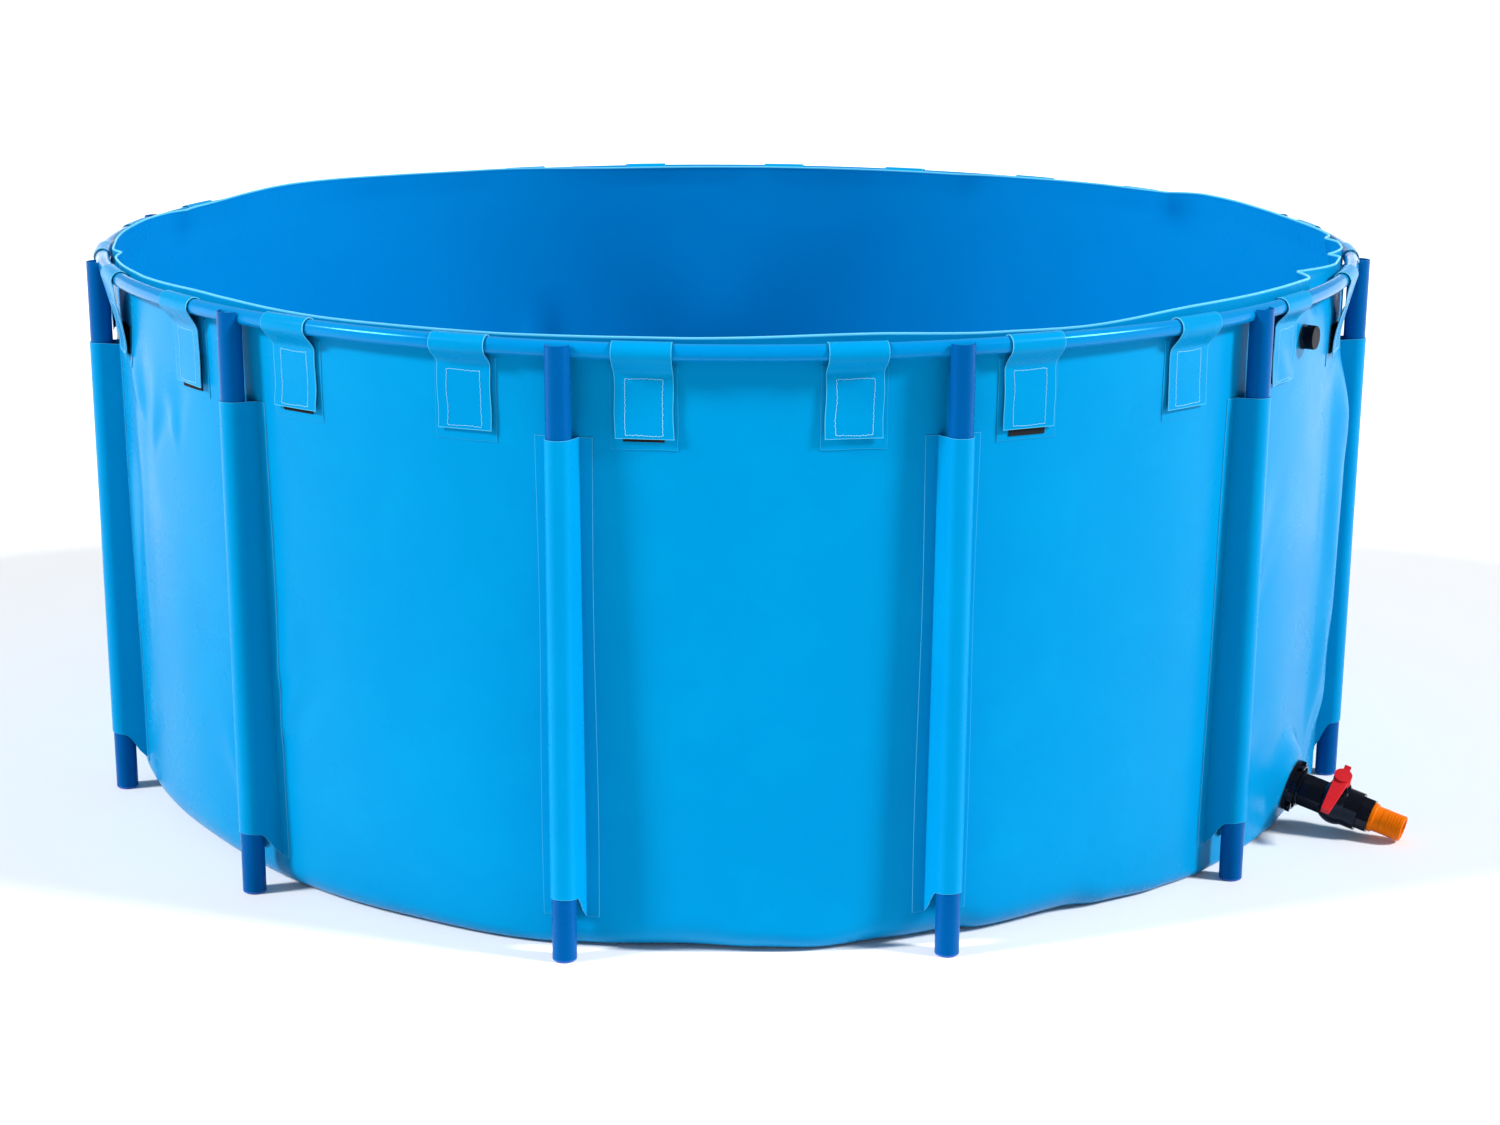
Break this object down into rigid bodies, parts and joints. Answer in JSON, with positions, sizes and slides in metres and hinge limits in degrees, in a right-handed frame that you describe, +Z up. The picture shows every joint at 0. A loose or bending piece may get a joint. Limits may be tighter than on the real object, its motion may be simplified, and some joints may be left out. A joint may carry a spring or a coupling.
{
  "type": "livestock water trough",
  "caption": "Round collapsible tarpaulin water trough hung by hook-and-loop straps from a tube ring on posts, with a ball-valve drain and a capped overflow port.",
  "frame": {"origin": "on the tank's axis, on the underside of the liner's floor", "axes": "+Z up along the tank's axis; a bearing of 0 degrees is -Y and grows towards +X; the drain is at bearing 60 degrees"},
  "size_m": [2.0101, 2.0002, 0.852],
  "materials": {
    "blue_tube": "semi-gloss blue coating on steel tube",
    "galvanised_tube": "plain galvanised steel",
    "foot_plastic": "moulded blue plug",
    "tarpaulin": "glossy PVC-coated polyester",
    "hook_and_loop": "black hook-and-loop pile",
    "black_plastic": "glossy moulded black",
    "seal_rubber": "dull black rubber",
    "seat_plastic": "white low-friction plastic",
    "ball_plastic": "smooth grey plastic",
    "red_plastic": "moulded red, slightly glossy",
    "orange_plastic": "satin moulded orange"
  },
  "bodies": {
    "frame_and_liner": {"post_01": "blue_tube", "post_02": "blue_tube", "post_03": "blue_tube", "post_04": "blue_tube", "post_05": "blue_tube", "post_06": "blue_tube", "post_07": "blue_tube", "post_08": "blue_tube", "post_09": "blue_tube", "post_10": "blue_tube", "post_11": "blue_tube", "post_12": "blue_tube", "ring_tubes": "blue_tube", "ring_spigots": "galvanised_tube", "foot_caps": "foot_plastic", "liner_wall": "tarpaulin", "liner_floor": "tarpaulin", "post_sleeves": "tarpaulin", "strap_tabs": "tarpaulin", "strap_patches": "tarpaulin", "loop_pads": "hook_and_loop", "drain_fitting": "black_plastic", "drain_gaskets": "seal_rubber", "drain_locknut": "black_plastic", "valve_body": "black_plastic", "valve_end": "black_plastic", "valve_seats": "seat_plastic", "hose_tail": "orange_plastic", "overflow_port": "black_plastic", "overflow_gaskets": "seal_rubber", "overflow_nut": "black_plastic"},
    "strap_01": {"strap_01": "tarpaulin"},
    "strap_02": {"strap_02": "tarpaulin"},
    "strap_03": {"strap_03": "tarpaulin"},
    "strap_04": {"strap_04": "tarpaulin"},
    "strap_05": {"strap_05": "tarpaulin"},
    "strap_06": {"strap_06": "tarpaulin"},
    "strap_07": {"strap_07": "tarpaulin"},
    "strap_08": {"strap_08": "tarpaulin"},
    "strap_09": {"strap_09": "tarpaulin"},
    "strap_10": {"strap_10": "tarpaulin"},
    "strap_11": {"strap_11": "tarpaulin"},
    "strap_12": {"strap_12": "tarpaulin"},
    "strap_13": {"strap_13": "tarpaulin"},
    "strap_14": {"strap_14": "tarpaulin"},
    "strap_15": {"strap_15": "tarpaulin"},
    "strap_16": {"strap_16": "tarpaulin"},
    "strap_17": {"strap_17": "tarpaulin"},
    "strap_18": {"strap_18": "tarpaulin"},
    "strap_19": {"strap_19": "tarpaulin"},
    "strap_20": {"strap_20": "tarpaulin"},
    "strap_21": {"strap_21": "tarpaulin"},
    "strap_22": {"strap_22": "tarpaulin"},
    "strap_23": {"strap_23": "tarpaulin"},
    "strap_24": {"strap_24": "tarpaulin"},
    "valve_key": {"valve_ball": "ball_plastic", "valve_stem": "ball_plastic", "valve_handle": "red_plastic"},
    "cap_seal": {"cap_seal": "seal_rubber"},
    "overflow_cap": {"overflow_cap": "black_plastic"}
  },
  "joints": [
    {"name": "strap_01_peel", "type": "hinge", "parent": "frame_and_liner", "child": "strap_01", "pos_m": [-0.1513, -0.97736, 0.832], "axis": [-0.9882, 0.153, 0], "range_deg": [0, 95]},
    {"name": "strap_02_peel", "type": "hinge", "parent": "frame_and_liner", "child": "strap_02", "pos_m": [0.12224, -0.98142, 0.832], "axis": [-0.9923, -0.1236, 0], "range_deg": [0, 95]},
    {"name": "strap_03_peel", "type": "hinge", "parent": "frame_and_liner", "child": "strap_03", "pos_m": [0.35765, -0.92207, 0.832], "axis": [-0.9323, -0.3616, 0], "range_deg": [0, 95]},
    {"name": "strap_04_peel", "type": "hinge", "parent": "frame_and_liner", "child": "strap_04", "pos_m": [0.59657, -0.78881, 0.832], "axis": [-0.7976, -0.6032, 0], "range_deg": [0, 95]},
    {"name": "strap_05_peel", "type": "hinge", "parent": "frame_and_liner", "child": "strap_05", "pos_m": [0.77077, -0.61971, 0.832], "axis": [-0.6266, -0.7793, 0], "range_deg": [0, 95]},
    {"name": "strap_06_peel", "type": "hinge", "parent": "frame_and_liner", "child": "strap_06", "pos_m": [0.91105, -0.38484, 0.832], "axis": [-0.3891, -0.9212, 0], "range_deg": [0, 95]},
    {"name": "strap_07_peel", "type": "hinge", "parent": "frame_and_liner", "child": "strap_07", "pos_m": [0.97736, -0.1513, 0.832], "axis": [-0.153, -0.9882, 0], "range_deg": [0, 95]},
    {"name": "strap_08_peel", "type": "hinge", "parent": "frame_and_liner", "child": "strap_08", "pos_m": [0.98142, 0.12224, 0.832], "axis": [0.1236, -0.9923, 0], "range_deg": [0, 95]},
    {"name": "strap_09_peel", "type": "hinge", "parent": "frame_and_liner", "child": "strap_09", "pos_m": [0.92207, 0.35765, 0.832], "axis": [0.3616, -0.9323, 0], "range_deg": [0, 95]},
    {"name": "strap_10_peel", "type": "hinge", "parent": "frame_and_liner", "child": "strap_10", "pos_m": [0.78881, 0.59657, 0.832], "axis": [0.6032, -0.7976, 0], "range_deg": [0, 95]},
    {"name": "strap_11_peel", "type": "hinge", "parent": "frame_and_liner", "child": "strap_11", "pos_m": [0.61971, 0.77077, 0.832], "axis": [0.7793, -0.6266, 0], "range_deg": [0, 95]},
    {"name": "strap_12_peel", "type": "hinge", "parent": "frame_and_liner", "child": "strap_12", "pos_m": [0.38484, 0.91105, 0.832], "axis": [0.9212, -0.3891, 0], "range_deg": [0, 95]},
    {"name": "strap_13_peel", "type": "hinge", "parent": "frame_and_liner", "child": "strap_13", "pos_m": [0.1513, 0.97736, 0.832], "axis": [0.9882, -0.153, 0], "range_deg": [0, 95]},
    {"name": "strap_14_peel", "type": "hinge", "parent": "frame_and_liner", "child": "strap_14", "pos_m": [-0.12224, 0.98142, 0.832], "axis": [0.9923, 0.1236, 0], "range_deg": [0, 95]},
    {"name": "strap_15_peel", "type": "hinge", "parent": "frame_and_liner", "child": "strap_15", "pos_m": [-0.35765, 0.92207, 0.832], "axis": [0.9323, 0.3616, 0], "range_deg": [0, 95]},
    {"name": "strap_16_peel", "type": "hinge", "parent": "frame_and_liner", "child": "strap_16", "pos_m": [-0.59657, 0.78881, 0.832], "axis": [0.7976, 0.6032, 0], "range_deg": [0, 95]},
    {"name": "strap_17_peel", "type": "hinge", "parent": "frame_and_liner", "child": "strap_17", "pos_m": [-0.77077, 0.61971, 0.832], "axis": [0.6266, 0.7793, 0], "range_deg": [0, 95]},
    {"name": "strap_18_peel", "type": "hinge", "parent": "frame_and_liner", "child": "strap_18", "pos_m": [-0.91105, 0.38484, 0.832], "axis": [0.3891, 0.9212, 0], "range_deg": [0, 95]},
    {"name": "strap_19_peel", "type": "hinge", "parent": "frame_and_liner", "child": "strap_19", "pos_m": [-0.97736, 0.1513, 0.832], "axis": [0.153, 0.9882, 0], "range_deg": [0, 95]},
    {"name": "strap_20_peel", "type": "hinge", "parent": "frame_and_liner", "child": "strap_20", "pos_m": [-0.98142, -0.12224, 0.832], "axis": [-0.1236, 0.9923, 0], "range_deg": [0, 95]},
    {"name": "strap_21_peel", "type": "hinge", "parent": "frame_and_liner", "child": "strap_21", "pos_m": [-0.92207, -0.35765, 0.832], "axis": [-0.3616, 0.9323, 0], "range_deg": [0, 95]},
    {"name": "strap_22_peel", "type": "hinge", "parent": "frame_and_liner", "child": "strap_22", "pos_m": [-0.78881, -0.59657, 0.832], "axis": [-0.6032, 0.7976, 0], "range_deg": [0, 95]},
    {"name": "strap_23_peel", "type": "hinge", "parent": "frame_and_liner", "child": "strap_23", "pos_m": [-0.61971, -0.77077, 0.832], "axis": [-0.7793, 0.6266, 0], "range_deg": [0, 95]},
    {"name": "strap_24_peel", "type": "hinge", "parent": "frame_and_liner", "child": "strap_24", "pos_m": [-0.38484, -0.91105, 0.832], "axis": [-0.9212, 0.3891, 0], "range_deg": [0, 95]},
    {"name": "valve_turn", "type": "hinge", "parent": "frame_and_liner", "child": "valve_key", "pos_m": [0.91066, -0.52577, 0.04622], "axis": [-0.0187, -0.4589, 0.8883], "range_deg": [0, 90]},
    {"name": "cap_lift", "type": "slide", "parent": "frame_and_liner", "child": "cap_seal", "axis": [0.829, -0.5592, 0], "range_m": [0, 0.0076]},
    {"name": "cap_turn", "type": "hinge", "parent": "cap_seal", "child": "overflow_cap", "pos_m": [0.80868, -0.54546, 0.771], "axis": [0.829, -0.5592, 0], "range_deg": [0, 900]}
  ],
  "couplings": [
    {"joint": "cap_lift", "follows": "cap_turn", "m_per_rad": 0.00047746}
  ]
}
